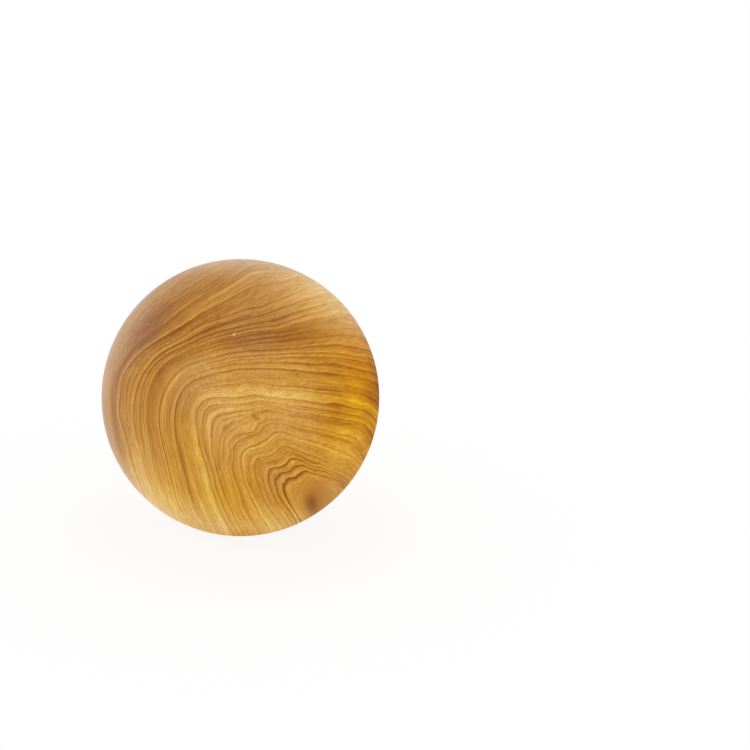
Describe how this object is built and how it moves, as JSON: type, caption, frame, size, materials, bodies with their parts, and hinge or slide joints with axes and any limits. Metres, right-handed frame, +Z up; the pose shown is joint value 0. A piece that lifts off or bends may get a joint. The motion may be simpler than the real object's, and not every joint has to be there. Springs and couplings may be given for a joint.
{
  "type": "wooden ball",
  "caption": "Solid turned ball of golden conifer wood, with bold growth rings bent round a brown pith mark low on one side; sized for the palm of a hand.",
  "frame": {"origin": "centre of the ball", "axes": "+Z up and -Y towards the viewer of the pictured side; the pith mark of the wood figure lies low on the -Y side, towards +X"},
  "size_m": [0.05, 0.05, 0.05],
  "materials": {
    "wood": "sanded and waxed, satin"
  },
  "bodies": {
    "root": {"ball": "wood"}
  },
  "joints": []
}
